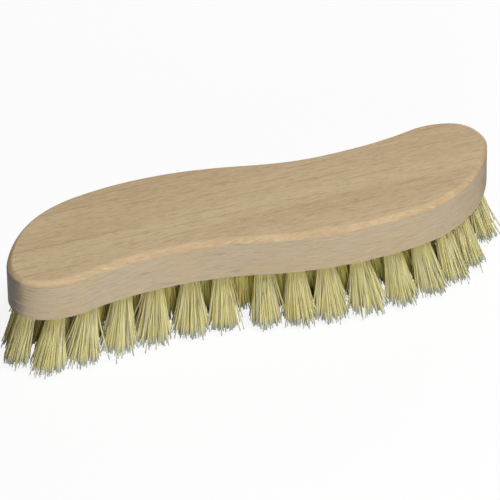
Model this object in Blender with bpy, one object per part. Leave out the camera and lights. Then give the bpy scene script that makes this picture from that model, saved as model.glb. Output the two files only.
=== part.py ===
"""A wooden hand brush for scrubbing: an S-shaped beech block with stapled tufts of bristle.

Units are metres, +Z is up and the bristle tips stand on Z = 0. The block's length runs along X.
The block's outline maps onto itself when it is turned half a turn about Z, and so do the rows of
tufts. One half is therefore worked out, and the other half is the same pieces turned round.
"""

import math
import random
from collections import namedtuple

import bmesh
import bpy
from mathutils import Vector

# Block: half of its outline is five arcs, walked anticlockwise from the front of the left end.
# Each has a radius and a turn in degrees. The last turn closes the half circle.
NOSE_RADIUS = 0.033
WAIST_RADIUS = 0.155
BELLY_RADIUS = 0.160
END_RADIUS = 0.056
CORNER_RADIUS = 0.015
START_HEADING = -20.25
NOSE_TURN = 33.0
WAIST_TURN = 29.0
BELLY_TURN = 25.0
END_TURN = 59.0
CORNER_TURN = 180.0 - NOSE_TURN + WAIST_TURN - BELLY_TURN - END_TURN
BLOCK_THICKNESS = 0.0194
WOOD_OVER_HOLES = 0.0080
FACET_SAG = 0.00008

# Softened top edge: how far it reaches in over the top and down the side, and its section. A
# sanding belt leaves it nearly flat, with a small round where it meets the side and the top.
TOP_EDGE_INSET = 0.0019
TOP_EDGE_DROP = 0.0022
TOP_EDGE_SECTION_SHARES = ((0.0, 0.0), (0.06, 0.16), (0.50, 0.64), (0.84, 0.94), (1.0, 1.0))

# Tuft rows: one follows the edge all round, and one on each side lies behind its gaps.
# The steps are shares of the mean step, from the front of the left end: wide along the waist and
# the belly, and closer where the ends begin to turn. The first inner tuft stands behind the
# second step of the edge row, because there the block is wide enough for it.
EDGE_ROW_INSET = 0.0075
EDGE_START_SHARE = -0.032
EDGE_STEP_SHARES = (
    0.92, 1.04, 1.11, 1.04, 1.11, 0.96, 1.21, 0.96,
    0.92, 1.04, 1.06, 0.94, 0.89, 0.83, 1.25, 0.72,
)
STEPS_BEFORE_INNER_ROW = 1
INNER_TUFT_COUNT = 12
ROW_COUNT_ACROSS = 4

# Tufts: the holes fan out, as if drilled from a long arc above the block and a short one that
# follows the middle line of the S. The middle line is found from this many points on each arc.
BRISTLE_HEIGHT = 0.0285
HOLE_DIAMETER = 0.0078
FAN_RADIUS_ALONG = 0.400
FAN_RADIUS_ACROSS = 0.125
MIDDLE_LINE_STEPS = 40
TUFT_TIP_RADIUS = 0.0072
TUFT_TIP_GAP = 0.0005
HOLE_SIDES = 8
HOLE_CLEARANCE = 0.0003
CUT_OVERRUN = 0.001

# Strands: one in the middle of each tuft and a ring of wedges round it, all cut flat.
RING_STRANDS = 6
RING_WEDGE_DEGREES = 46.0
RING_OUTER_SHARE = 0.88
RING_INNER_SHARE = 0.40
CORE_SHARE = 0.26
SHORT_STRAND_CUT = 0.0018
SHORT_STRAND_SHARES = (0.0, 0.0, 0.35, 0.0, 0.7, 0.0, 1.0)
SCATTER_SEED = 7

# Staple: a U of flattened wire over the fold of the bristles, with both legs in the wood.
STAPLE_WIRE = 0.0009
STAPLE_LEG_SPACING = 0.0046
STAPLE_LEG_DEPTH_SHARE = 0.5
STAPLE_POINT_SHARE = 0.45

# Edges between faces that meet at more than this are drawn sharp.
SHARP_DEGREES = 40.0

UNDERSIDE = BRISTLE_HEIGHT
HOLE_DEPTH = BLOCK_THICKNESS - WOOD_OVER_HOLES

Arc = namedtuple("Arc", "centre radius heading turn")
Stand = namedtuple("Stand", "spot lean")


def material(name, colour, roughness):
    """A plain Principled material."""
    made = bpy.data.materials.new(name)
    made.use_nodes = True
    shader = made.node_tree.nodes["Principled BSDF"]
    shader.inputs["Base Color"].default_value = (*colour, 1.0)
    shader.inputs["Roughness"].default_value = roughness
    shader.inputs["Metallic"].default_value = 0.0
    made.diffuse_color = (*colour, 1.0)
    return made


def inward(heading):
    """The unit vector to the left of a heading, which points into the wood."""
    return Vector((-math.sin(heading), math.cos(heading)))


def half_outline():
    """Half of the block's outline as arcs, placed so that its ends lie evenly about the middle."""
    pieces = (
        (NOSE_RADIUS, NOSE_TURN),
        (-WAIST_RADIUS, -WAIST_TURN),
        (BELLY_RADIUS, BELLY_TURN),
        (END_RADIUS, END_TURN),
        (CORNER_RADIUS, CORNER_TURN),
    )
    arcs = []
    spot = Vector((0.0, 0.0))
    heading = math.radians(START_HEADING)
    for radius, degrees in pieces:
        centre = spot + inward(heading) * radius
        arcs.append(Arc(centre, radius, heading, math.radians(degrees)))
        heading += math.radians(degrees)
        spot = centre - inward(heading) * radius
    return [arc._replace(centre=arc.centre - spot / 2) for arc in arcs]


def on_arc(arc, heading, inset):
    """The point of an arc at a heading, moved into the wood by an inset."""
    return arc.centre - inward(heading) * (arc.radius - inset)


def row_length(arcs, inset):
    """The length of half a row that runs at an inset from the outline."""
    return sum((arc.radius - inset) * arc.turn for arc in arcs)


def row_spot(arcs, distance, inset):
    """The point at a distance along the edge row, moved to the inset of its own row."""
    length = row_length(arcs, EDGE_ROW_INSET)
    halves, left = divmod(distance, length)
    side = -1.0 if halves % 2 else 1.0
    for arc in arcs:
        reach = (arc.radius - EDGE_ROW_INSET) * arc.turn
        if left <= reach:
            break
        left -= reach
    heading = arc.heading + left / (arc.radius - EDGE_ROW_INSET)
    return side * on_arc(arc, heading, inset)


def outline_ring(mesh, arcs, inset, height):
    """Vertices all round the outline, at an inset and a height."""
    half = []
    for arc in arcs:
        facet = 2.0 * math.acos(1.0 - FACET_SAG / abs(arc.radius))
        count = math.ceil(abs(arc.turn) / facet)
        half += [on_arc(arc, arc.heading + arc.turn * step / count, inset) for step in range(count)]
    points = half + [-point for point in half]
    return [mesh.verts.new((*point, height)) for point in points]


def skin(mesh, low, high):
    """Faces between two rings of as many vertices."""
    for index, vertex in enumerate(low):
        after = (index + 1) % len(low)
        mesh.faces.new((vertex, low[after], high[after], high[index]))


def fill(mesh, rings, normal):
    """Flat faces inside the first ring, with the other rings left open as holes."""
    edges = []
    for ring in rings:
        for index, vertex in enumerate(ring):
            pair = (vertex, ring[(index + 1) % len(ring)])
            edges.append(mesh.edges.get(pair) or mesh.edges.new(pair))
    bmesh.ops.triangle_fill(mesh, use_beauty=True, edges=edges, normal=normal)


def finish_mesh(mesh, name, look):
    """A Blender mesh from a closed shape, with its faces pointing out."""
    bmesh.ops.recalc_face_normals(mesh, faces=mesh.faces[:])
    data = bpy.data.meshes.new(name)
    mesh.to_mesh(data)
    mesh.free()
    data.shade_smooth()
    data.set_sharp_from_angle(angle=math.radians(SHARP_DEGREES))
    data.materials.append(look)
    return data


def place(name, data, spot=(0.0, 0.0, 0.0), turn=0.0):
    """An object in the scene that shows a mesh."""
    piece = bpy.data.objects.new(name, data)
    piece.location = spot
    piece.rotation_euler = (0.0, 0.0, turn)
    bpy.context.scene.collection.objects.link(piece)
    return piece


def root(mesh, lean, grow, mouth_height):
    """The part of a tuft inside the block, up to its staple's points, open at the mouth.

    Its middle is at the mouth of the hole. With grow above zero it is the hole that the tuft
    sits in, larger all round by that clearance.
    """
    up = Vector((-lean.x, -lean.y, 1.0)).normalized()
    across = Vector((up.z, 0.0, -up.x)).normalized()
    along = up.cross(across)
    radius = HOLE_DIAMETER / 2 - HOLE_CLEARANCE + grow / math.cos(math.pi / HOLE_SIDES)
    blind_end = up * ((HOLE_DEPTH - HOLE_CLEARANCE + grow) / up.z)

    rim = []
    for side in range(HOLE_SIDES):
        angle = 2.0 * math.pi * (side + 0.5) / HOLE_SIDES
        rim.append(radius * (across * math.cos(angle) + along * math.sin(angle)))
    mouth = [mesh.verts.new(point + up * ((mouth_height - point.z) / up.z)) for point in rim]
    end = [mesh.verts.new(point + blind_end) for point in rim]
    skin(mesh, mouth, end)

    wire = STAPLE_WIRE / 2 + grow
    rise = up * (WOOD_OVER_HOLES * STAPLE_LEG_DEPTH_SHARE)
    legs = []
    for side in (-1.0, 1.0):
        foot = blind_end + across * side * STAPLE_LEG_SPACING / 2
        corners = [(a * across + b * along) * wire for a, b in ((-1, -1), (1, -1), (1, 1), (-1, 1))]
        start = [mesh.verts.new(foot + corner) for corner in corners]
        point = [mesh.verts.new(foot + rise + corner * STAPLE_POINT_SHARE) for corner in corners]
        skin(mesh, start, point)
        mesh.faces.new(point)
        legs.append(start)
    fill(mesh, [end] + legs, up)
    return mouth


def strand_sections(turn):
    """The section of each strand at the mouth of the hole, the middle one first."""
    radius = HOLE_DIAMETER / 2 - HOLE_CLEARANCE
    sections = []
    core = [turn + 2.0 * math.pi * corner / 3 for corner in range(3)]
    sections.append([(radius * CORE_SHARE, angle) for angle in core])
    spread = math.radians(RING_WEDGE_DEGREES) / 2
    for strand in range(RING_STRANDS):
        angle = turn + 2.0 * math.pi * strand / RING_STRANDS
        outer = radius * RING_OUTER_SHARE
        inner = radius * RING_INNER_SHARE
        sections.append([(inner, angle), (outer, angle - spread), (outer, angle + spread)])
    return sections


def tuft_mesh(name, stand, tip_radius, turn, cuts, look):
    """One tuft: its folded root, its staple's legs and the strands that flare from its mouth."""
    mesh = bmesh.new()
    mouth = root(mesh, stand.lean, 0.0, 0.0)
    flare = tip_radius / (HOLE_DIAMETER / 2 - HOLE_CLEARANCE)
    starts = []
    for section, cut in zip(strand_sections(turn), cuts):
        drop = BRISTLE_HEIGHT - cut
        widening = 1.0 + (flare / RING_OUTER_SHARE - 1.0) * drop / BRISTLE_HEIGHT
        start, tip = [], []
        for reach, angle in section:
            corner = Vector((math.cos(angle), math.sin(angle), 0.0)) * reach
            start.append(mesh.verts.new(corner))
            below = Vector((stand.lean.x * drop, stand.lean.y * drop, -drop))
            tip.append(mesh.verts.new(corner * widening + below))
        skin(mesh, start, tip)
        mesh.faces.new(tip)
        starts.append(start)
    fill(mesh, [mouth] + starts, Vector((0.0, 0.0, 1.0)))
    return finish_mesh(mesh, name, look)


def stands(arcs):
    """Where the tufts of one half stand and how they lean, as an edge row and an inner row."""
    length = row_length(arcs, EDGE_ROW_INSET)
    step = length / sum(EDGE_STEP_SHARES)
    marks = [EDGE_START_SHARE * length]
    for share in EDGE_STEP_SHARES:
        marks.append(marks[-1] + share * step)
    half_width = min(point.length for point in (row_spot(arcs, mark, 0.0) for mark in marks))
    row_spacing = 2.0 * (half_width - EDGE_ROW_INSET) / (ROW_COUNT_ACROSS - 1)
    edge = [row_spot(arcs, mark, EDGE_ROW_INSET) for mark in marks[:-1]]
    inner = []
    for number in range(INNER_TUFT_COUNT):
        before = STEPS_BEFORE_INNER_ROW + number
        middle = (marks[before] + marks[before + 1]) / 2
        inner.append(row_spot(arcs, middle, EDGE_ROW_INSET + row_spacing))
    return [[Stand(spot, leaning(arcs, spot)) for spot in row] for row in (edge, inner)]


def middle_line(arcs, x):
    """Where the middle line of the S runs at a place along the block, halfway across it."""
    steps = [step / MIDDLE_LINE_STEPS for step in range(MIDDLE_LINE_STEPS)]
    half = [on_arc(arc, arc.heading + arc.turn * step, 0.0) for arc in arcs for step in steps]
    ring = half + [-point for point in half]
    edges = []
    for before, after in zip(ring, ring[1:] + ring[:1]):
        if (before.x < x) != (after.x < x):
            edges.append(before.lerp(after, (x - before.x) / (after.x - before.x)).y)
    return (min(edges) + max(edges)) / 2


def leaning(arcs, spot):
    """How far a tuft leans outwards for each metre down, along X and Y."""
    off_middle = spot.y - middle_line(arcs, spot.x)
    return Vector((spot.x / FAN_RADIUS_ALONG, off_middle / FAN_RADIUS_ACROSS))


def tip_spot(stand):
    """Where the middle of a tuft's tips stands."""
    return stand.spot + stand.lean * BRISTLE_HEIGHT


def make_block(arcs, rows, look):
    """The wooden block, with its softened top edge and a blind hole for each tuft."""
    mesh = bmesh.new()
    top = UNDERSIDE + BLOCK_THICKNESS
    bottom_ring = outline_ring(mesh, arcs, 0.0, UNDERSIDE)
    mesh.faces.new(bottom_ring)
    below = bottom_ring
    for in_share, up_share in TOP_EDGE_SECTION_SHARES:
        height = top - TOP_EDGE_DROP * (1.0 - up_share)
        ring = outline_ring(mesh, arcs, TOP_EDGE_INSET * in_share, height)
        skin(mesh, below, ring)
        below = ring
    mesh.faces.new(below)
    block = place("block", finish_mesh(mesh, "block", look))

    holes = bmesh.new()
    for stand in (stand for row in rows for stand in row):
        for side in (1.0, -1.0):
            before = len(holes.verts)
            mouth = root(holes, stand.lean * side, HOLE_CLEARANCE, -CUT_OVERRUN)
            holes.faces.new(mouth)
            holes.verts.ensure_lookup_table()
            shift = Vector((stand.spot.x * side, stand.spot.y * side, UNDERSIDE))
            bmesh.ops.translate(holes, verts=holes.verts[before:], vec=shift)
    cutter = place("hole_cutter", finish_mesh(holes, "hole_cutter", look))
    cutter.hide_render = True
    cutter.display_type = "WIRE"
    cut = block.modifiers.new("tuft_holes", "BOOLEAN")
    cut.operation = "DIFFERENCE"
    cut.solver = "EXACT"
    cut.object = cutter
    return block


def make_tufts(rows, look):
    """Every tuft of both halves. The back half is the front half's tufts, turned round."""
    scatter = random.Random(SCATTER_SEED)
    tips = [tip_spot(stand) * side for row in rows for stand in row for side in (1.0, -1.0)]
    for row_name, row in zip(("edge", "inner"), rows):
        for number, stand in enumerate(row, start=1):
            tip = tip_spot(stand)
            nearest = sorted((tip - other).length for other in tips)[1]
            tip_radius = min(TUFT_TIP_RADIUS, (nearest - TUFT_TIP_GAP) / 2)
            turn = scatter.uniform(0.0, 2.0 * math.pi / RING_STRANDS)
            cuts = [share * SHORT_STRAND_CUT for share in SHORT_STRAND_SHARES]
            scatter.shuffle(cuts)
            data = tuft_mesh(f"{row_name}_tuft", stand, tip_radius, turn, cuts, look)
            spot = Vector((stand.spot.x, stand.spot.y, UNDERSIDE))
            place(f"{row_name}_tuft_front_{number:02}", data, spot)
            turned = Vector((-spot.x, -spot.y, spot.z))
            place(f"{row_name}_tuft_back_{number:02}", data, turned, math.pi)


def main():
    for piece in list(bpy.data.objects):
        bpy.data.objects.remove(piece)
    beech = material("beech_wood", (0.49, 0.37, 0.24), 0.55)
    bristle = material("bristle_fibre", (0.58, 0.52, 0.24), 0.5)
    arcs = half_outline()
    rows = stands(arcs)
    make_block(arcs, rows, beech)
    make_tufts(rows, bristle)
    print("tufts:", 2 * sum(len(row) for row in rows))


main()
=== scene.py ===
# %% [markdown]
# A wooden hand brush, the kind that scrubs floors and kitchen boards. Its block is sawn from beech
# in an S, so that either end fits the palm. Tufts of cream plant fibre are stapled into blind holes
# that fan out under the block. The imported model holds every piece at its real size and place. This
# lesson gives the same pieces their finish: sanded wood, single fibres, soft light and a camera.

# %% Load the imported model
import math
import random

import bmesh
import bpy
from mathutils import Matrix, Vector, noise


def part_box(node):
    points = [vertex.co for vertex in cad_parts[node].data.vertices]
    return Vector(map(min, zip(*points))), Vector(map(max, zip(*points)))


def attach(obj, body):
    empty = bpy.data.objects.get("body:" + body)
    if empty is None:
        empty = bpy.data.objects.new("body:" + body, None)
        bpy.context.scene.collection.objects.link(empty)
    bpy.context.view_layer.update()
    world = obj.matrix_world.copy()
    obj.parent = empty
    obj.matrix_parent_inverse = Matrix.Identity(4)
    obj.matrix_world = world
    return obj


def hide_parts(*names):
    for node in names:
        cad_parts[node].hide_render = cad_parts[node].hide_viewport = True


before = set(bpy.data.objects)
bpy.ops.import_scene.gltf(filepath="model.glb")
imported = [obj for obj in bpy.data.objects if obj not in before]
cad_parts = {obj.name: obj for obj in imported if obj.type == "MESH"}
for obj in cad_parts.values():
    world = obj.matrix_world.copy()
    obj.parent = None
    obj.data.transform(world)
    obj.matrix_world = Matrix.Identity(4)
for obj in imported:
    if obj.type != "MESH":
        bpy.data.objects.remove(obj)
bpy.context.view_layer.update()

MM = 0.001
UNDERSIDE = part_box("block")[0].z
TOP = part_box("block")[1].z
tuft_nodes = sorted(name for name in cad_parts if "_tuft_" in name)
print(f"{len(tuft_nodes)} tufts, block from {UNDERSIDE / MM:.1f} to {TOP / MM:.1f} mm up")

# %% [markdown]
# The camera stands where the photographer's stood: in front of the brush, a little to its left,
# looking down at 37 degrees. It is more than two metres away with a long lens, because the far end
# of the block shows hardly smaller than the near one. A camera can be aimed with a constraint or
# by hand. Here its three axes are worked out and written into its matrix, so that the small tilt
# of the horizon is there too, and no part of the framing is left to a lens shift.

# %% Camera
PHOTO_SIDE = 500
MIDDLE_PIXEL = (250.4, 237.4)
PIXELS_PER_METRE = 2369.0
CAMERA_AZIMUTH = math.radians(-19.63)
CAMERA_ELEVATION = math.radians(37.08)
CAMERA_ROLL = math.radians(0.80)
CAMERA_DISTANCE = 2.428

camera = bpy.data.objects.new("camera", bpy.data.cameras.new("camera"))
bpy.context.scene.collection.objects.link(camera)
bpy.context.scene.camera = camera
camera.data.lens = camera.data.sensor_width * PIXELS_PER_METRE * CAMERA_DISTANCE / PHOTO_SIDE

level = math.cos(CAMERA_ELEVATION)
towards = Vector((
    math.sin(CAMERA_AZIMUTH) * level, -math.cos(CAMERA_AZIMUTH) * level, math.sin(CAMERA_ELEVATION)
))
sideways = Vector((math.cos(CAMERA_AZIMUTH), math.sin(CAMERA_AZIMUTH), 0.0))
upright = towards.cross(sideways)
across = sideways * math.cos(CAMERA_ROLL) - upright * math.sin(CAMERA_ROLL)
upright = sideways * math.sin(CAMERA_ROLL) + upright * math.cos(CAMERA_ROLL)

aim = Vector((0.0, 0.0, UNDERSIDE))
aim -= across * (MIDDLE_PIXEL[0] - PHOTO_SIDE / 2) / PIXELS_PER_METRE
aim -= upright * (PHOTO_SIDE / 2 - MIDDLE_PIXEL[1]) / PIXELS_PER_METRE
turned = Matrix((across, upright, towards)).transposed().to_4x4()
camera.matrix_world = Matrix.Translation(aim + towards * CAMERA_DISTANCE) @ turned
print(f"lens {camera.data.lens:.0f} mm at {CAMERA_DISTANCE} m")

# %% [markdown]
# Two helpers serve everything that follows. Colours are written as the hex codes that a paint
# program shows, and Blender's sockets want linear light, so one function converts them. The other
# adds a node with its settings, its values and its links, which keeps each node tree short.

# %% Colour and node helpers
def linear(code):
    """The linear RGBA of an sRGB hex colour such as #BBA98C."""
    parts = [int(code[start:start + 2], 16) / 255.0 for start in (1, 3, 5)]
    return [c / 12.92 if c <= 0.04045 else ((c + 0.055) / 1.055) ** 2.4 for c in parts] + [1.0]


def add(tree, kind, values=None, **settings):
    """One new node. A value is a constant, a socket, or a node whose first output it links."""
    node = tree.nodes.new(kind)
    for name, setting in settings.items():
        setattr(node, name, setting)
    for name, value in (values or {}).items():
        if isinstance(value, bpy.types.Node):
            value = next(socket for socket in value.outputs if socket.enabled)
        if isinstance(value, bpy.types.NodeSocket):
            tree.links.new(value, node.inputs[name])
        else:
            node.inputs[name].default_value = value
    return node


def new_material(name):
    """An empty material and its node tree."""
    made = bpy.data.materials.new(name)
    made.use_nodes = True
    made.node_tree.nodes.clear()
    return made, made.node_tree


print("a mid grey in linear light:", [round(part, 3) for part in linear("#808080")])

# %% [markdown]
# Light. The top and the side of the block are equally bright, the softened edge between them is
# brighter than both, and the left end is dark. So one big soft lamp hangs high in front and to the
# right. The gaps between the tufts are olive and not black, so a low fill lamp shines into them from
# the front. A third lamp, low behind, keeps the far side from going black. A lamp's power follows
# from the level that it gives: a white surface that faces it renders as that level.

# %% Lamps
KEY_LEVEL = 0.78
KEY_AZIMUTH = math.radians(34.0)
KEY_ELEVATION = math.radians(63.0)
FILL_LEVEL = 0.54
FILL_AZIMUTH = math.radians(-13.0)
FILL_ELEVATION = math.radians(12.0)
BACK_LEVEL = 0.34
BACK_AZIMUTH = math.radians(150.0)
BACK_ELEVATION = math.radians(15.0)
LAMP_DISTANCE = 1.6
LAMP_SIDE = 0.80


def soft_lamp(name, level, azimuth, elevation):
    """A square lamp that looks at the brush. Azimuth 0 is in front, and 90 degrees is at +X."""
    data = bpy.data.lights.new(name, "AREA")
    data.size = LAMP_SIDE
    data.energy = level * (math.pi * LAMP_DISTANCE) ** 2
    lamp = bpy.data.objects.new(name, data)
    flat = math.cos(elevation)
    out = Vector((math.sin(azimuth) * flat, -math.cos(azimuth) * flat, math.sin(elevation)))
    lamp.location = Vector((0.0, 0.0, UNDERSIDE)) + out * LAMP_DISTANCE
    lamp.rotation_euler = out.to_track_quat("Z", "Y").to_euler()
    bpy.context.scene.collection.objects.link(lamp)
    return lamp


for lamp in (soft_lamp("key_lamp", KEY_LEVEL, KEY_AZIMUTH, KEY_ELEVATION),
             soft_lamp("fill_lamp", FILL_LEVEL, FILL_AZIMUTH, FILL_ELEVATION),
             soft_lamp("back_lamp", BACK_LEVEL, BACK_AZIMUTH, BACK_ELEVATION)):
    print(lamp.name, f"{lamp.data.energy:.1f} W")

# %% [markdown]
# The room is a dim grey, and the left end of the block gets little light but that. To the camera
# the same room is plain white. A light path node tells the two kinds of ray apart, and gloss and
# glass see the white too. The floor is a pale sheet that works the same way: most of its white is
# given off, and the rest is lit, so that it still shows the brush's shadow.

# %% World and floor
SHADE_COLOUR = "#8A877E"
SHADE_LEVEL = 0.22
FLOOR_SIDE = 6.0
FLOOR_WHITE_SHARE = 0.88
FLOOR_GREY = "#AFA48C"


def seen_rays(tree):
    """1 for rays from the camera, off gloss or through glass, and 0 for the light that they miss."""
    path = add(tree, "ShaderNodeLightPath").outputs
    either = add(tree, "ShaderNodeMath", {0: path["Is Camera Ray"], 1: path["Is Glossy Ray"]},
                 operation="MAXIMUM")
    return add(tree, "ShaderNodeMath", {0: either, 1: path["Is Transmission Ray"]},
               operation="MAXIMUM")


world = bpy.data.worlds.new("studio")
bpy.context.scene.world = world
world.use_nodes = True
world.node_tree.nodes.clear()
shade = add(world.node_tree, "ShaderNodeBackground",
            {"Color": linear(SHADE_COLOUR), "Strength": SHADE_LEVEL})
white = add(world.node_tree, "ShaderNodeBackground", {"Color": linear("#FFFFFF"), "Strength": 1.0})
sky = add(world.node_tree, "ShaderNodeMixShader", {0: seen_rays(world.node_tree), 1: shade, 2: white})
add(world.node_tree, "ShaderNodeOutputWorld", {"Surface": sky})
bpy.context.scene.view_settings.view_transform = "Standard"

floor_look, tree = new_material("pale_paper_floor")
paper = add(tree, "ShaderNodeBsdfDiffuse", {"Color": linear("#FFFFFF")})
glow = add(tree, "ShaderNodeEmission", {"Color": linear("#FFFFFF"), "Strength": 1.0})
lit = add(tree, "ShaderNodeMixShader", {0: FLOOR_WHITE_SHARE, 1: paper, 2: glow})
grey = add(tree, "ShaderNodeBsdfDiffuse", {"Color": linear(FLOOR_GREY)})
mixed = add(tree, "ShaderNodeMixShader", {0: seen_rays(tree), 1: grey, 2: lit})
add(tree, "ShaderNodeOutputMaterial", {"Surface": mixed})

half = FLOOR_SIDE / 2
floor_mesh = bpy.data.meshes.new("floor")
floor_mesh.from_pydata(
    [(-half, -half, 0.0), (half, -half, 0.0), (half, half, 0.0), (-half, half, 0.0)], [], [(0, 1, 2, 3)]
)
floor_mesh.materials.append(floor_look)
floor = bpy.data.objects.new("floor", floor_mesh)
bpy.context.scene.collection.objects.link(floor)
print(f"floor {FLOOR_SIDE} m square")

# %% [markdown]
# Beech is a pale pinkish brown with a fine, even grain. Four things show in it. Growth rings are
# long thin lines where the board's face cuts them on edge, as on the top here. Between them run
# finer streaks, broken like pencil strokes. Pores are short dark scratches along the grain, and
# rays are ribbons of harder cells across the rings, which show as short dashes on the side of this
# block and hardly on its top. The rings get the next cell. The others are noise textures on Object
# coordinates, each stretched to its own length, breadth and height, so that the pattern runs
# through the wood as in a real board and meets itself over every edge. A few more serve the
# softened edge, the torn ends and broad changes of tone.

# %% Grain patterns
GRAIN_DETAIL = 2.0
GRAIN_ROUGHNESS = 0.55

beech, tree = new_material("sanded_beech")
place = add(tree, "ShaderNodeTexCoord").outputs["Object"]


def grain(size, origin, low, high, tilt=0.0):
    """Marks through the wood: 0 where a noise is below low, 1 above high. Size and origin are mm."""
    stretch = add(tree, "ShaderNodeMapping",
                  {"Vector": place, "Location": [MM * part for part in origin],
                   "Rotation": (tilt, tilt, 0.0), "Scale": [MM * part for part in size]},
                  vector_type="TEXTURE")
    cloud = add(tree, "ShaderNodeTexNoise",
                {"Vector": stretch, "Scale": 1.0, "Detail": GRAIN_DETAIL,
                 "Roughness": GRAIN_ROUGHNESS})
    return add(tree, "ShaderNodeMapRange", {"Value": cloud, "From Min": low, "From Max": high},
               interpolation_type="SMOOTHSTEP")


# Patch sizes in mm along the grain, across the rings and up. A noise leaves marks about half as
# long and a third as thick as its patches. The pores of real beech are under 0.1 mm wide. They
# are drawn about twice as coarse, or they would not show in a picture.
BANDS = grain((260.0, 16.0, 60.0), (0.0, 3.0, 0.0), 0.35, 0.65)
STREAKS = grain((7.0, 0.50, 5.0), (31.0, 11.0, 7.0), 0.50, 0.74)
PALE_STREAKS = grain((11.0, 0.75, 5.0), (8.0, 27.0, 13.0), 0.52, 0.76)
BREAKS = grain((24.0, 7.0, 9.0), (5.0, 17.0, 3.0), 0.40, 0.62)
PORES = grain((2.8, 0.45, 0.45), (7.0, 2.0, 4.0), 0.49, 0.69)
RAYS = grain((7.5, 18.0, 0.32), (19.0, 8.0, 6.0), 0.52, 0.70)
PALE_RAYS = grain((8.0, 16.0, 0.36), (3.0, 41.0, 27.0), 0.52, 0.72)
GREY_PATCHES = grain((38.0, 60.0, 16.0), (12.0, 5.0, 9.0), 0.42, 0.66)
TORN = grain((3.0, 4.6, 1.1), (2.0, 4.0, 0.0), 0.44, 0.68, tilt=math.radians(34.0))
MOTTLE = grain((3.4, 2.0, 1.6), (9.0, 3.0, 5.0), 0.40, 0.64)
WORN_STRETCHES = grain((48.0, 48.0, 48.0), (62.0, 11.0, 2.0), 0.40, 0.60)
print("grain patterns:", sum(node.type == "TEX_NOISE" for node in tree.nodes))

# %% [markdown]
# A growth ring darkens slowly and then stops short, so a saw-tooth wave across the board draws
# both the soft side and the sharp side of each line. The wave is bent a little, because no tree
# grows straight, and the breaks thin it out here and there.

# %% Growth rings
RING_SPACING = 5.4
RING_WANDER = 1.1
RING_WANDER_LENGTH = 170.0
RING_PALE_SHARE = 0.78
# Blender's wave texture repeats every 2 pi / 20 units.
WAVE_PERIOD = 2.0 * math.pi / 20.0

stretch = add(tree, "ShaderNodeMapping",
              {"Vector": place,
               "Scale": [MM * part for part in
                         (RING_WANDER_LENGTH, RING_SPACING / WAVE_PERIOD, RING_WANDER_LENGTH)]},
              vector_type="TEXTURE")
waves = add(tree, "ShaderNodeTexWave",
            {"Vector": stretch, "Scale": 1.0, "Distortion": RING_WANDER, "Detail": 1.0,
             "Detail Scale": 1.0}, bands_direction="Y", wave_profile="SAW").outputs["Fac"]
ring_lines = add(tree, "ShaderNodeMapRange",
                 {"Value": waves, "From Min": RING_PALE_SHARE, "From Max": 1.0},
                 interpolation_type="SMOOTHERSTEP")
RINGS = add(tree, "ShaderNodeMath", {0: ring_lines, 1: BREAKS}, operation="MULTIPLY")
print(f"a growth ring every {RING_SPACING} mm")

# %% [markdown]
# The same board looks different on each face. The planed top shows the rings, the sawn side shows
# the rays and is greyer, both ends are end grain and torn, and the softened edge is warm and mottled
# where the belt broke through the planed skin. Both ends are also painted a dark blue-grey, which
# is painted shade: the shade that the left end is in. Masks could be painted for these, but would
# have to be painted again whenever the shape changes. Which face a point is on also follows from its
# normal, so each mask is a ramp over one part of that.

# %% Masks for the faces
facing = add(tree, "ShaderNodeSeparateXYZ", {0: add(tree, "ShaderNodeNewGeometry").outputs["Normal"]})
lengthwise = add(tree, "ShaderNodeMath", {0: facing.outputs["X"]}, operation="ABSOLUTE")
steep = add(tree, "ShaderNodeMath", {0: facing.outputs["Z"]}, operation="ABSOLUTE")

# Each mask with the part of the normal that it reads, where it starts, and where it is whole.
masks = {}
for name, part, starts, whole in (
        ("top", facing.outputs["Z"], 0.78, 0.99), ("side", steep, 0.50, 0.05),
        ("ends", lengthwise, 0.70, 1.00), ("above the side", facing.outputs["Z"], 0.06, 0.45)):
    masks[name] = add(tree, "ShaderNodeMapRange", {"Value": part, "From Min": starts, "From Max": whole},
                      interpolation_type="SMOOTHSTEP")
masks["edge"] = add(tree, "ShaderNodeMath", {0: masks["above the side"], 1: masks["top"]},
                    operation="SUBTRACT")
print("masks:", list(masks))

# %% [markdown]
# Now the colour is built up in layers: a pattern, the mask of where it shows, how strongly, and in
# what colour. Pores and torn grain are dips too, so a bump node lets the light catch in them.

# %% Beech material
# Sawn beech, sanded and left bare: dull and a little rough, with no varnish to darken the grain.
BEECH_PALE = "#C4AD88"
BEECH_DEEP = "#B9A07B"
BEECH_SIDE = "#BFAF96"
BEECH_GREY = "#BCB29F"
BEECH_LINE = "#8A7150"
BEECH_FLECK = "#D3C09E"
# Painted shade: both ends get a dark blue-grey that stands for the shade the left end is in.
BEECH_ENDS_PAINTED_SHADE = "#585F6C"
BEECH_TORN = "#5F5A52"
BEECH_SANDED = "#C5AB86"
BEECH_RUBBED = "#B29975"
BEECH_ROUGHNESS = 0.66
BEECH_SHINE = 0.35
DIP_DEPTH = 0.08 * MM
DIP_STRENGTH = 0.4
EVERYWHERE = 1.0

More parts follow.
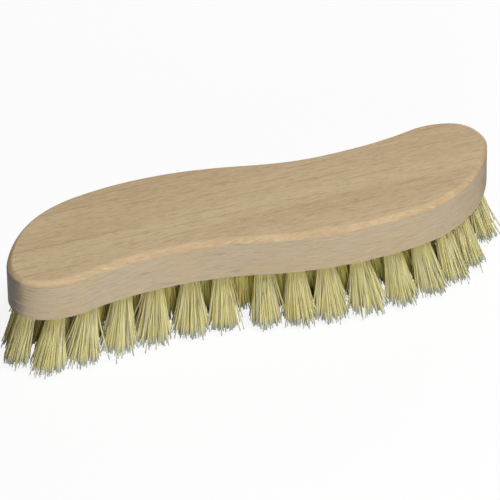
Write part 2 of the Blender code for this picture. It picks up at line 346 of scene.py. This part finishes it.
on_top, on_side, on_ends, on_edge = [masks[name] for name in ("top", "side", "ends", "edge")]
layers = (
    (BANDS, on_top, 1.00, BEECH_DEEP), (EVERYWHERE, on_side, 0.80, BEECH_SIDE),
    (GREY_PATCHES, on_side, 0.70, BEECH_GREY), (EVERYWHERE, on_edge, 0.85, BEECH_SANDED),
    (WORN_STRETCHES, on_edge, 0.60, BEECH_RUBBED), (MOTTLE, on_edge, 0.65, BEECH_RUBBED),
    (PALE_STREAKS, on_edge, 0.75, BEECH_FLECK), (EVERYWHERE, on_ends, 0.80, BEECH_ENDS_PAINTED_SHADE),
    (RINGS, on_top, 0.40, BEECH_LINE), (STREAKS, on_top, 0.38, BEECH_LINE),
    (PALE_STREAKS, on_top, 0.50, BEECH_FLECK), (PORES, EVERYWHERE, 0.12, BEECH_LINE),
    (PORES, on_top, 0.26, BEECH_LINE), (RAYS, on_side, 0.44, BEECH_LINE),
    (PALE_RAYS, on_side, 0.60, BEECH_FLECK), (TORN, on_ends, 0.50, BEECH_TORN),
)
wood = linear(BEECH_PALE)
for pattern, where, strength, colour in layers:
    share = add(tree, "ShaderNodeMath", {0: pattern, 1: where}, operation="MULTIPLY")
    share = add(tree, "ShaderNodeMath", {0: share, 1: strength}, operation="MULTIPLY")
    wood = add(tree, "ShaderNodeMix", {0: share, 6: wood, 7: linear(colour)}, data_type="RGBA")

torn_ends = add(tree, "ShaderNodeMath", {0: TORN, 1: on_ends}, operation="MULTIPLY")
dips = add(tree, "ShaderNodeMath", {0: PORES, 1: torn_ends}, operation="ADD")
bump = add(tree, "ShaderNodeBump",
           {"Height": dips, "Strength": DIP_STRENGTH, "Distance": DIP_DEPTH}, invert=True)
shader = add(tree, "ShaderNodeBsdfPrincipled",
             {"Base Color": wood, "Roughness": BEECH_ROUGHNESS, "Specular IOR Level": BEECH_SHINE,
              "Normal": bump})
add(tree, "ShaderNodeOutputMaterial", {"Surface": shader})
print(f"{len(layers)} layers of colour, {len(tree.nodes)} nodes")

# %% [markdown]
# The block's outline is an S that maps onto itself when it is turned half a turn. Each half is five
# arcs that run into each other: the nose, the waist, the belly, the end and a small corner. Their
# radii and turns are all that the saw needs, so the outline is walked arc by arc with a heading,
# and the second half is the first one turned round.

# %% Outline of the block
START_HEADING = math.radians(-20.25)
HALF_TURN = 180.0
# Radius in metres and turn in degrees. A hollow has both negative. The corner closes the half turn.
NOSE, WAIST, BELLY, END = (0.033, 33.0), (-0.155, -29.0), (0.160, 25.0), (0.056, 59.0)
CORNER = (0.015, HALF_TURN - sum(degrees for _, degrees in (NOSE, WAIST, BELLY, END)))
OUTLINE_STEP = 1.2 * MM


def inward(heading):
    """The unit vector to the left of a heading, which points into the wood."""
    return Vector((-math.sin(heading), math.cos(heading)))


def outline():
    """Points all round the block, each with its outward direction and its distance along it."""
    half_round = []
    spot, heading, gone = Vector((0.0, 0.0)), START_HEADING, 0.0
    for radius, degrees in (NOSE, WAIST, BELLY, END, CORNER):
        turn = math.radians(degrees)
        centre = spot + inward(heading) * radius
        steps = math.ceil(radius * turn / OUTLINE_STEP)
        for step in range(steps):
            share = step / steps
            here = inward(heading + turn * share)
            half_round.append((centre - here * radius, -here, gone + radius * turn * share))
        heading += turn
        gone += radius * turn
        spot = centre - inward(heading) * radius
    front = [(point - spot / 2, out, reach) for point, out, reach in half_round]
    back = [(-point, -out, gone + reach) for point, out, reach in front]
    return front + back, 2.0 * gone


edge_points, edge_length = outline()

# %% [markdown]
# The top edge was softened on a sanding belt by hand, so the band wanders: it is a little broader
# here and narrower there. Its section is nearly flat with a small round at each side. A noise that
# is read along a circle says how hard the belt pressed at each point of the outline, and the circle
# makes its end meet its start.

# %% Softened edge
EDGE_INSET = 1.9 * MM
EDGE_WANDER = 0.22
WANDER_LENGTH = 30.0 * MM
NOISE_ROW = 0.37


def belt_pressure(reach):
    """How much wider or narrower than its mean the softened band is at a distance round."""
    angle = 2.0 * math.pi * reach / edge_length
    radius = edge_length / WANDER_LENGTH / (2.0 * math.pi)
    spot = Vector((radius * math.cos(angle), radius * math.sin(angle), NOISE_ROW))
    return 1.0 + EDGE_WANDER * 2.0 * noise.noise(spot)


presses = [belt_pressure(reach) for _, _, reach in edge_points]
print(f"the softened band is {EDGE_INSET * min(presses) / MM:.1f} to {EDGE_INSET * max(presses) / MM:.1f}",
      "mm wide, seen from above")

# %% [markdown]
# A bevel modifier would make the band the same width all round, so the block is built as rings
# instead, with each ring's inset and height worked out at every point of the outline. Two more
# rings, just inside the flat faces, keep smooth shading from bending the light on them.

# %% Block
EDGE_DROP = 2.2 * MM
# Sections are shares of the way in and of the way up.
EDGE_SECTION = ((0.0, 0.0), (0.025, 0.09), (0.10, 0.22), (0.30, 0.45), (0.52, 0.66),
                (0.70, 0.82), (0.84, 0.925), (0.94, 0.98), (1.0, 1.0))
BELOW_EDGE_SHARE = -0.12
FLAT_MARGIN = 0.7 * MM
LOWER_EDGE = 0.35 * MM
LOWER_SECTION = ((1.0, 0.0), (0.35, 0.12), (0.0, 0.6), (0.0, 1.0))


def ring(mesh, inset, height):
    """Vertices all round the block. Inset and height are functions of the distance round."""
    made = []
    for point, out, reach in edge_points:
        flat = point - out * inset(reach)
        made.append(mesh.verts.new((flat.x, flat.y, height(reach))))
    return made


def bridge(mesh, low, high):
    """A band of faces between two rings."""
    for index, vertex in enumerate(low):
        after = (index + 1) % len(low)
        mesh.faces.new((vertex, low[after], high[after], high[index]))


def block_shell():
    """The block without its holes."""
    mesh = bmesh.new()
    rings = [ring(mesh, lambda r: LOWER_EDGE + FLAT_MARGIN, lambda r: UNDERSIDE)]
    for share_in, share_up in LOWER_SECTION:
        rings.append(ring(mesh, lambda r: LOWER_EDGE * share_in,
                          lambda r: UNDERSIDE + LOWER_EDGE * share_up))
    for share_in, share_up in ((0.0, BELOW_EDGE_SHARE),) + EDGE_SECTION:
        rings.append(ring(mesh, lambda r: EDGE_INSET * share_in * belt_pressure(r),
                          lambda r: TOP - EDGE_DROP * (1.0 - share_up) * belt_pressure(r)))
    rings.append(ring(mesh, lambda r: EDGE_INSET * belt_pressure(r) + FLAT_MARGIN, lambda r: TOP))
    for low, high in zip(rings, rings[1:]):
        bridge(mesh, low, high)
    mesh.faces.new(rings[-1])
    mesh.faces.new(list(reversed(rings[0])))
    bmesh.ops.recalc_face_normals(mesh, faces=mesh.faces[:])
    data = bpy.data.meshes.new("block_shell")
    mesh.to_mesh(data)
    mesh.free()
    return data


block = bpy.data.objects.new("block_shell", block_shell())
print("faces round the block:", len(block.data.polygons))

# %% [markdown]
# Where each tuft stands, and how it leans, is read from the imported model. A tuft there has its
# mouth in the plane of the underside and its fold deep in the wood, and the line from one to the
# other is the drill's. The holes fan out along the block and across it, so every tuft leans
# outwards by its own amount.

# %% Tuft places from the model
FOLD_DEPTH = 5.0 * MM
CLOSE = 0.02 * MM


def mean(points):
    """The middle of some points."""
    return sum(points, Vector()) / len(points)


def stand_of(node):
    """Where a tuft leaves the block, and how far it leans for each metre down."""
    corners = {vertex.co.to_tuple(6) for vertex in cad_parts[node].data.vertices}
    mouth = mean([Vector(c) for c in corners if abs(c[2] - UNDERSIDE) < CLOSE])
    fold = mean([Vector(c) for c in corners if c[2] > UNDERSIDE + FOLD_DEPTH])
    lean = (mouth - fold) / (fold.z - mouth.z)
    return mouth, Vector((lean.x, lean.y, -1.0))


stands = {node: stand_of(node) for node in tuft_nodes}
steepest = max(lean.xy.length for _, lean in stands.values())
print(f"the outermost tuft leans {math.degrees(math.atan(steepest)):.1f} degrees")

# %% [markdown]
# Both jobs that repeat 56 times, the drilled holes and the tufts, are node trees. Three helpers
# serve them: one starts a tree with named inputs, one ends it with real geometry and a material,
# and one runs it on an object and keeps the result as a plain mesh, because an export knows nothing
# of node trees.

# %% Node tree helpers
def new_tree(name, inputs):
    """An empty Geometry Nodes tree with named inputs: the tree and the sockets of its inputs."""
    made = bpy.data.node_groups.new(name, "GeometryNodeTree")
    made.is_modifier = True
    made.interface.new_socket("Geometry", in_out="INPUT", socket_type="NodeSocketGeometry")
    made.interface.new_socket("Geometry", in_out="OUTPUT", socket_type="NodeSocketGeometry")
    for kind, labels in inputs.items():
        for label in labels:
            made.interface.new_socket(label, in_out="INPUT", socket_type="NodeSocket" + kind)
    return made, add(made, "NodeGroupInput").outputs


def finish_tree(made, shape, look):
    """Ends a tree: its instances become real geometry, and that gets its material."""
    whole = add(made, "GeometryNodeRealizeInstances", {0: shape})
    painted = add(made, "GeometryNodeSetMaterial", {"Geometry": whole, "Material": look})
    add(made, "NodeGroupOutput", {0: painted})
    print(f"{made.name}: {len(made.nodes)} nodes")


def grow(piece, made, values, name):
    """Runs a tree on an object and puts a new plain object in its place."""
    modifier = piece.modifiers.new(made.name, "NODES")
    modifier.node_group = made
    for socket in made.interface.items_tree:
        if socket.in_out == "INPUT" and socket.name in values:
            modifier[socket.identifier] = values[socket.name]
    bpy.context.scene.collection.objects.link(piece)
    shown = piece.evaluated_get(bpy.context.evaluated_depsgraph_get())
    plain = bpy.data.objects.new(name, bpy.data.meshes.new_from_object(shown))
    plain.data.name = name
    bpy.data.objects.remove(piece)
    bpy.context.scene.collection.objects.link(plain)
    return plain


print("helpers are ready for", len(stands) + 1, "pieces")

# %% [markdown]
# The tuft places go into the drilling tree as loose points that carry the drill's direction as an
# attribute. The tree stands a drill and a countersink on each point, turns them along it, and takes
# all of them out of the block. Only the first few millimetres of a hole can be seen, but the tufts
# sit in them and keep their shade.

# %% Drilling tree
HOLE_SIDES = 28
drilling, given = new_tree("drill_tuft_holes", {
    "Object": ["Stands"], "Float": ["Hole Radius", "Hole Depth", "Rim Depth", "Overrun"],
    "Material": ["Beech"],
})

# The drill runs from an overrun below the wood to the blind end. The rim cutter is a blunt cone.
drill_length = add(drilling, "ShaderNodeMath", {0: given["Hole Depth"], 1: given["Overrun"]})
drill_middle = add(drilling, "ShaderNodeMath", {0: given["Hole Depth"], 1: given["Overrun"]},
                   operation="SUBTRACT")
drill_middle = add(drilling, "ShaderNodeMath", {0: drill_middle, 1: 2.0}, operation="DIVIDE")
drill = add(drilling, "GeometryNodeMeshCylinder",
            {"Vertices": HOLE_SIDES, "Radius": given["Hole Radius"], "Depth": drill_length})
drill = add(drilling, "GeometryNodeTransform",
            {"Geometry": drill, "Translation": add(drilling, "ShaderNodeCombineXYZ", {"Z": drill_middle})})
rim_length = add(drilling, "ShaderNodeMath", {0: given["Rim Depth"], 1: given["Overrun"]})
rim_radius = add(drilling, "ShaderNodeMath", {0: given["Hole Radius"], 1: rim_length})
rim_start = add(drilling, "ShaderNodeMath", {0: given["Overrun"], 1: -1.0}, operation="MULTIPLY")
rim = add(drilling, "GeometryNodeMeshCone",
          {"Vertices": HOLE_SIDES, "Radius Bottom": rim_radius, "Radius Top": given["Hole Radius"],
           "Depth": rim_length})
rim = add(drilling, "GeometryNodeTransform",
          {"Geometry": rim, "Translation": add(drilling, "ShaderNodeCombineXYZ", {"Z": rim_start})})

points = add(drilling, "GeometryNodeObjectInfo", {"Object": given["Stands"]}).outputs["Geometry"]
axis = add(drilling, "GeometryNodeInputNamedAttribute", {"Name": "drill_axis"}, data_type="FLOAT_VECTOR")
turn = add(drilling, "FunctionNodeAlignRotationToVector", {"Vector": axis}, axis="Z")
wood_left = given["Geometry"]
for cutter in (drill, rim):
    stood = add(drilling, "GeometryNodeInstanceOnPoints",
                {"Points": points, "Instance": cutter, "Rotation": turn})
    cutters = add(drilling, "GeometryNodeRealizeInstances", {0: stood})
    wood_left = add(drilling, "GeometryNodeMeshBoolean", {"Mesh 1": wood_left, "Mesh 2": cutters},
                    operation="DIFFERENCE", solver="EXACT")
finish_tree(drilling, wood_left, given["Beech"])

# %% [markdown]
# The holes are as wide and as deep as the model's, and the countersink takes the sharp rim off
# each. After the cut, faces that meet at a small angle are shaded as one, which rounds the sides of
# the holes and leaves their rims sharp.

# %% Drilled block
HOLE_DIAMETER = 7.8 * MM
HOLE_DEPTH = 11.4 * MM
RIM_DEPTH = 0.25 * MM
OVERRUN = 1.0 * MM
SHARP_DEGREES = 35.0

drill_points = bpy.data.meshes.new("drill_points")
drill_points.from_pydata([mouth for mouth, _ in stands.values()], [], [])
axes = drill_points.attributes.new("drill_axis", "FLOAT_VECTOR", "POINT")
for item, (_, lean) in zip(axes.data, stands.values()):
    item.vector = -lean.normalized()
drill_plan = bpy.data.objects.new("drill_plan", drill_points)
bpy.context.scene.collection.objects.link(drill_plan)

block = grow(block, drilling, {
    "Stands": drill_plan, "Hole Radius": HOLE_DIAMETER / 2, "Hole Depth": HOLE_DEPTH,
    "Rim Depth": RIM_DEPTH, "Overrun": OVERRUN, "Beech": beech,
}, "beech_block")
bpy.data.objects.remove(drill_plan)
block.data.shade_smooth()
block.data.set_sharp_from_angle(angle=math.radians(SHARP_DEGREES))
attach(block, "root")
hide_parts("block")
print("faces of the drilled block:", len(block.data.polygons))

# %% [markdown]
# The fibre is tampico, from the leaf of an agave: stiff, round, cream with a green or olive cast,
# and no two alike. What the eye gets is a bundle of straws, some paler and some darker, that look
# deeper in colour near the wood and blue-grey at the cut tips. The deeper colour near the wood is
# painted shade, for the shade under the block and between the tufts. The blue-grey is partly the
# frayed cut ends and partly painted light, the white background seen through them. So every fibre
# carries a tone of its own as an attribute, and another attribute runs from its root to its tip.
# Light that reaches the buried straws has gone from straw to straw and lost its blue on the way. A
# renderer follows only a few of those bounces, so a third attribute gives them a deeper colour. The
# straws let light through, so a tuft glows like one soft body instead of a row of rods. Two settings
# give that: light soaks into each straw, and its shading normal is mixed with the direction that its
# tuft faces.

# %% Fibre material
# Tampico fibre, cut dry: a faint waxy shine on a straw-coloured strand that light soaks into.
FIBRE_DARK = "#D8CE88"
FIBRE_MID = "#EEE29E"
FIBRE_PALE = "#F8EFB8"
FIBRE_DEEP = "#EAD876"
# Painted shade: the deeper straw near the wood stands for the shade under the block and between tufts.
FIBRE_ROOT_SHADE = "#D2BB58"
# Frayed cut ends, and partly painted light: the white background seen through the tips.
FIBRE_TIP_FRAY_AND_LIGHT = "#A2B1B2"
FIBRE_ROUGHNESS = 0.55
FIBRE_SHINE = 0.12
FIBRE_GLOW = 0.8
FIBRE_GLOW_REACH = (1.0, 0.95, 0.80)
TUFT_SOFTNESS = 0.50

fibre, tree = new_material("tampico_fibre")
tone = add(tree, "ShaderNodeAttribute", attribute_name="tone").outputs["Fac"]
along = add(tree, "ShaderNodeAttribute", attribute_name="along").outputs["Fac"]
buried = add(tree, "ShaderNodeAttribute", attribute_name="buried").outputs["Fac"]
straw = linear(FIBRE_MID)
for runs, start, end, strength, colour in (
        (tone, 0.45, 0.0, 0.8, FIBRE_DARK), (tone, 0.45, 1.0, 0.8, FIBRE_PALE),
        # Painted shade: deeper straw in the buried straws and near the wood.
        (buried, 0.0, 1.0, 0.9, FIBRE_DEEP), (along, 0.50, 0.0, 0.6, FIBRE_ROOT_SHADE),
        # Partly painted light at the tips.
        (along, 0.87, 1.0, 0.95, FIBRE_TIP_FRAY_AND_LIGHT)):
    share = add(tree, "ShaderNodeMapRange",
                {"Value": runs, "From Min": start, "From Max": end, "To Max": strength})
    straw = add(tree, "ShaderNodeMix", {0: share, 6: straw, 7: linear(colour)}, data_type="RGBA")
outward = add(tree, "ShaderNodeAttribute", attribute_name="outward").outputs["Vector"]
own_normal = add(tree, "ShaderNodeNewGeometry").outputs["Normal"]
shared_normal = add(tree, "ShaderNodeMix", {0: TUFT_SOFTNESS, 4: own_normal, 5: outward},
                    data_type="VECTOR")
shared_normal = add(tree, "ShaderNodeVectorMath", {0: shared_normal}, operation="NORMALIZE")
shader = add(tree, "ShaderNodeBsdfPrincipled",
             {"Base Color": straw, "Roughness": FIBRE_ROUGHNESS, "Specular IOR Level": FIBRE_SHINE,
              "Normal": shared_normal, "Subsurface Weight": FIBRE_GLOW,
              "Subsurface Radius": FIBRE_GLOW_REACH, "Subsurface Scale": 1.0 * MM})
add(tree, "ShaderNodeOutputMaterial", {"Surface": shader})
print("fibre nodes:", len(tree.nodes))

# %% [markdown]
# One tuft is a bundle of some 300 fibres pushed into a hole. Blender's hair curves could draw it,
# but they leave an export with no mesh. So a node tree makes it in three steps. First it scatters
# roots on a disc as wide as the hole, no two closer than the gap between fibres, and draws lots
# for each: whether it strays, which way it swings and bends, its tone, and where it was cut.

# %% Tuft tree, roots
FIBRE_POINTS = 6
FIBRE_SIDES = 4
DISC_SIDES = 24
ROOTS_TRIED = 1.0e8
STRAY_SHARE = 0.09
STRAY_REACH = 3.2

tufting, given = new_tree("tuft_of_fibres", {
    "Vector": ["Mouth", "Lean"], "Int": ["Seed"], "Material": ["Fibre"],
    "Float": ["Mouth Radius", "Fibre Radius", "Fibre Gap", "Start", "Length", "Shortest", "Bulge",
              "Bulge Reach", "Flare", "Swing", "Bend", "Lock Size", "Lock Pull", "Inner Row"],
})
disc = add(tufting, "GeometryNodeMeshCircle",
           {"Vertices": DISC_SIDES, "Radius": given["Mouth Radius"]}, fill_type="NGON")
roots = add(tufting, "GeometryNodeDistributePointsOnFaces",
            {"Mesh": disc, "Distance Min": given["Fibre Gap"], "Density Max": ROOTS_TRIED,
             "Seed": given["Seed"]}, distribute_method="POISSON")
roots = add(tufting, "GeometryNodeStoreNamedAttribute",
            {"Geometry": roots, "Name": "root", "Value": add(tufting, "GeometryNodeInputPosition")},
            data_type="FLOAT_VECTOR", domain="POINT")

any_way = {"Min": (-1.0, -1.0, 0.0), "Max": (1.0, 1.0, 0.0)}
lots = (("stray", "BOOLEAN", {"Probability": STRAY_SHARE}), ("swing", "FLOAT_VECTOR", any_way),
        ("bend", "FLOAT_VECTOR", any_way), ("tone", "FLOAT", {}), ("cut", "FLOAT", {}))
drawn = {"root": add(tufting, "GeometryNodeInputNamedAttribute", {"Name": "root"},
                     data_type="FLOAT_VECTOR")}
for step, (name, kind, values) in enumerate(lots, start=1):
    seed = add(tufting, "FunctionNodeIntegerMath", {0: given["Seed"], 1: step})
    lot = add(tufting, "FunctionNodeRandomValue", data_type=kind)
    for socket in lot.inputs:
        if socket.enabled and socket.name in values:
            socket.default_value = values[socket.name]
    tufting.links.new(seed.outputs[0], lot.inputs["Seed"])
    roots = add(tufting, "GeometryNodeStoreNamedAttribute",
                {"Geometry": roots, "Name": name, "Value": lot}, data_type=kind, domain="POINT")
    drawn[name] = add(tufting, "GeometryNodeInputNamedAttribute", {"Name": name}, data_type=kind)
print("drawn for each root:", list(drawn))

# %% [markdown]
# Then it hangs a line on each root. A point of a line knows only how far down it is. The fibres
# leave the mouth packed side by side, bulge a little because the fold behind them is thicker than
# the hole, and then flare more and more. Neighbours lean towards the middle of their lock, each
# fibre swings and bends its own way, a few stray, and the whole tuft leans as its hole does.

# %% Tuft tree, lines
FLARE_POWER = 1.5

line = add(tufting, "GeometryNodeCurvePrimitiveLine", {"End": (0.0, 0.0, -1.0)})
line = add(tufting, "GeometryNodeResampleCurve", {"Curve": line, "Count": FIBRE_POINTS})
lines = add(tufting, "GeometryNodeInstanceOnPoints", {"Points": roots, "Instance": line})
lines = add(tufting, "GeometryNodeRealizeInstances", {0: lines})

share = add(tufting, "GeometryNodeSplineParameter")
cut = add(tufting, "ShaderNodeMath", {0: drawn["cut"]}, operation="SQRT")
end = add(tufting, "ShaderNodeMapRange",
          {"Value": cut, "To Min": given["Length"], "To Max": given["Shortest"]})
down = add(tufting, "ShaderNodeMapRange", {"Value": share, "To Min": given["Start"], "To Max": end})
part = add(tufting, "ShaderNodeMapRange", {"Value": down, "From Max": given["Length"]})

bulged = add(tufting, "ShaderNodeMapRange",
             {"Value": down, "From Max": given["Bulge Reach"], "To Min": 1.0, "To Max": given["Bulge"]},
             interpolation_type="SMOOTHSTEP")
late = add(tufting, "ShaderNodeMath", {0: part, 1: FLARE_POWER}, operation="POWER")
widening = add(tufting, "ShaderNodeMath", {0: late, 1: given["Flare"], 2: bulged},
               operation="MULTIPLY_ADD")
pull = add(tufting, "ShaderNodeMath", {0: late, 1: given["Lock Pull"]}, operation="MULTIPLY")
lock_scale = add(tufting, "ShaderNodeMath", {0: 1.0, 1: given["Lock Size"]}, operation="DIVIDE")
lock = add(tufting, "ShaderNodeTexVoronoi", {"Vector": drawn["root"], "Scale": lock_scale},
           voronoi_dimensions="2D").outputs["Position"]
gathered = add(tufting, "ShaderNodeMix", {0: pull, 4: drawn["root"], 5: lock}, data_type="VECTOR")

straying = add(tufting, "ShaderNodeMath", {0: drawn["stray"], 1: STRAY_REACH, 2: 1.0},
               operation="MULTIPLY_ADD")
swinging = add(tufting, "ShaderNodeMath", {0: part, 1: given["Swing"]}, operation="MULTIPLY")
swinging = add(tufting, "ShaderNodeMath", {0: swinging, 1: straying}, operation="MULTIPLY")
bending = add(tufting, "ShaderNodeMath", {0: late, 1: given["Bend"]}, operation="MULTIPLY")

spot = given["Mouth"]
for direction, amount in ((gathered, widening), (drawn["swing"], swinging),
                          (drawn["bend"], bending), (given["Lean"], down)):
    spot = add(tufting, "ShaderNodeVectorMath", {0: direction, 1: amount, 2: spot},
               operation="MULTIPLY_ADD")
lines = add(tufting, "GeometryNodeSetPosition", {"Geometry": lines, "Position": spot})
print("lines of", FIBRE_POINTS, "points")

# %% [markdown]
# The fibre's material reads three more attributes of these points. One runs along the fibre. One
# says how buried it is: nearly half so in the core of each tuft, and wholly in an inner row. The
# last is the outward direction for the shading: the way that the tuft leans, and a little of the
# way that the fibre stands from the tuft's middle.

# %% Tuft tree, attributes for the shading
LEAN_WEIGHT = (1.5, 4.0, 0.0)
RADIAL_WEIGHT = 0.4
OUTER_SHARE = 0.95
CORE_SHARE = 0.55
CORE_DEPTH = 0.45

radial = add(tufting, "ShaderNodeVectorMath", {0: drawn["root"], 1: given["Mouth Radius"]},
             operation="DIVIDE")
from_middle = add(tufting, "ShaderNodeVectorMath", {0: radial}, operation="LENGTH")
in_core = add(tufting, "ShaderNodeMapRange",
              {"Value": from_middle, "From Min": OUTER_SHARE, "From Max": CORE_SHARE,
               "To Max": CORE_DEPTH})
buried = add(tufting, "ShaderNodeMath", {0: in_core, 1: given["Inner Row"]}, operation="MAXIMUM")
radial = add(tufting, "ShaderNodeVectorMath", {0: radial, "Scale": RADIAL_WEIGHT}, operation="SCALE")
faced = add(tufting, "ShaderNodeVectorMath", {0: given["Lean"], 1: LEAN_WEIGHT, 2: radial},
            operation="MULTIPLY_ADD")
stored = (("along", "FLOAT", share), ("buried", "FLOAT", buried), ("outward", "FLOAT_VECTOR", faced))
for name, kind, value in stored:
    lines = add(tufting, "GeometryNodeStoreNamedAttribute",
                {"Geometry": lines, "Name": name, "Value": value}, data_type=kind, domain="POINT")
print("stored for the shading:", [name for name, _, _ in stored])

# %% [markdown]
# Last it gives each line a skin. Four sides are enough for a fibre half a millimetre thick, since
# smooth shading rounds them, and the blunt end is closed with a cap, as shears leave it.

# %% Tuft tree, skins
THINNING_STARTS = 0.7
TIP_THINNING = 0.12

thinner = add(tufting, "ShaderNodeMapRange",
              {"Value": share, "From Min": THINNING_STARTS, "To Min": 1.0, "To Max": 1.0 - TIP_THINNING})
section = add(tufting, "GeometryNodeCurvePrimitiveCircle",
              {"Resolution": FIBRE_SIDES, "Radius": given["Fibre Radius"]})
skins = add(tufting, "GeometryNodeCurveToMesh",
            {"Curve": lines, "Profile Curve": section, "Scale": thinner, "Fill Caps": True})
finish_tree(tufting, add(tufting, "GeometryNodeSetShadeSmooth", {"Geometry": skins}), given["Fibre"])

# %% [markdown]
# These sizes are the same for every tuft. The fibres fill the hole but for a little play, start
# inside it, where nobody sees their ends, and are cut a little ragged just above the floor.

# %% Tuft sizes
FIBRE_RADIUS = 0.26 * MM
FIBRE_GAP = 0.27 * MM
HOLE_PLAY = 0.25 * MM
MOUTH_RADIUS = HOLE_DIAMETER / 2 - HOLE_PLAY - FIBRE_RADIUS
TIP_CLEARANCE = 0.15 * MM
SUNK = 3.0 * MM
BULGE_REACH = 5.0 * MM
SWING = 1.1 * MM
BEND = 0.9 * MM
RAGGED = 3.2 * MM
LOCK_SIZE = 1.3 * MM
LOCK_PULL = 0.55

sizes = {
    "Mouth Radius": MOUTH_RADIUS, "Fibre Radius": FIBRE_RADIUS, "Fibre Gap": FIBRE_GAP,
    "Start": -SUNK, "Length": UNDERSIDE - TIP_CLEARANCE, "Shortest": UNDERSIDE - TIP_CLEARANCE - RAGGED,
    "Bulge Reach": BULGE_REACH, "Swing": SWING, "Bend": BEND,
    "Lock Size": LOCK_SIZE, "Lock Pull": LOCK_PULL, "Fibre": fibre,
}
print(f"fibres end {sizes['Shortest'] / MM:.1f} to {sizes['Length'] / MM:.1f} mm under the block")

# %% [markdown]
# The rest is each tuft's own: its mouth, its lean, its seed and its flare, because a brushmaker
# never picks up quite the same pinch of fibre twice. Those along the front are as wide as they look,
# and those behind are fuller, since no daylight shows between them.

# %% Flares
FIRST_SEED = 11
FLARE = 3.4 * MM
FLARE_SPREAD = 0.30
# Shares of the mean flare for the tufts along the front, from left to right.
FRONT_FLARES = (0.35, 1.09, 1.15, 1.15, 1.21, 1.28, 0.53, 0.78, 0.97, 1.15, 1.34, 0.91, 0.91, 0.70,
                0.60, 0.60)
HIDDEN_END_FLARE = 0.10
INNER_FLARE = 1.3

handful = random.Random(FIRST_SEED)
seen_flares = {f"edge_tuft_front_{place:02}": share for place, share in enumerate(FRONT_FLARES, start=1)}
seen_flares |= {"edge_tuft_back_01": HIDDEN_END_FLARE, "edge_tuft_back_16": HIDDEN_END_FLARE}
seen_nodes = set(seen_flares)
flares = {node: handful.uniform(1.0 - FLARE_SPREAD, 1.0 + FLARE_SPREAD) for node in stands}
flares |= seen_flares
flares |= {node: INNER_FLARE for node in tuft_nodes if node.startswith("inner")}
print(f"flares from {FLARE * min(flares.values()) / MM:.1f} to {FLARE * max(flares.values()) / MM:.1f} mm")

# %% [markdown]
# Each tuft becomes a plain mesh and replaces the plain tuft of the model that it stands for. Its
# name says which one that is.

# %% Tufts
BULGE = 0.3 * MM
BULGE_BEHIND = 1.1 * MM
SEED_STEP = 10

fibres_made = 0
for number, (node, (mouth, lean)) in enumerate(stands.items()):
    flare = FLARE * flares[node]
    bulge = BULGE if node in seen_nodes else BULGE_BEHIND
    bundle = bpy.data.objects.new("bundle", bpy.data.meshes.new("bundle"))
    tuft = grow(bundle, tufting, {
        **sizes, "Mouth": mouth, "Lean": lean, "Flare": flare / MOUTH_RADIUS,
        "Bulge": 1.0 + bulge / MOUTH_RADIUS, "Inner Row": float(node.startswith("inner")),
        "Seed": FIRST_SEED + SEED_STEP * number,
    }, node.replace("_tuft_", "_fibres_"))
    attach(tuft, "root")
    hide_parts(node)
    fibres_made += len(tuft.data.vertices) // (FIBRE_POINTS * FIBRE_SIDES)
print(f"{fibres_made} fibres, {fibres_made / len(stands):.0f} in each tuft")
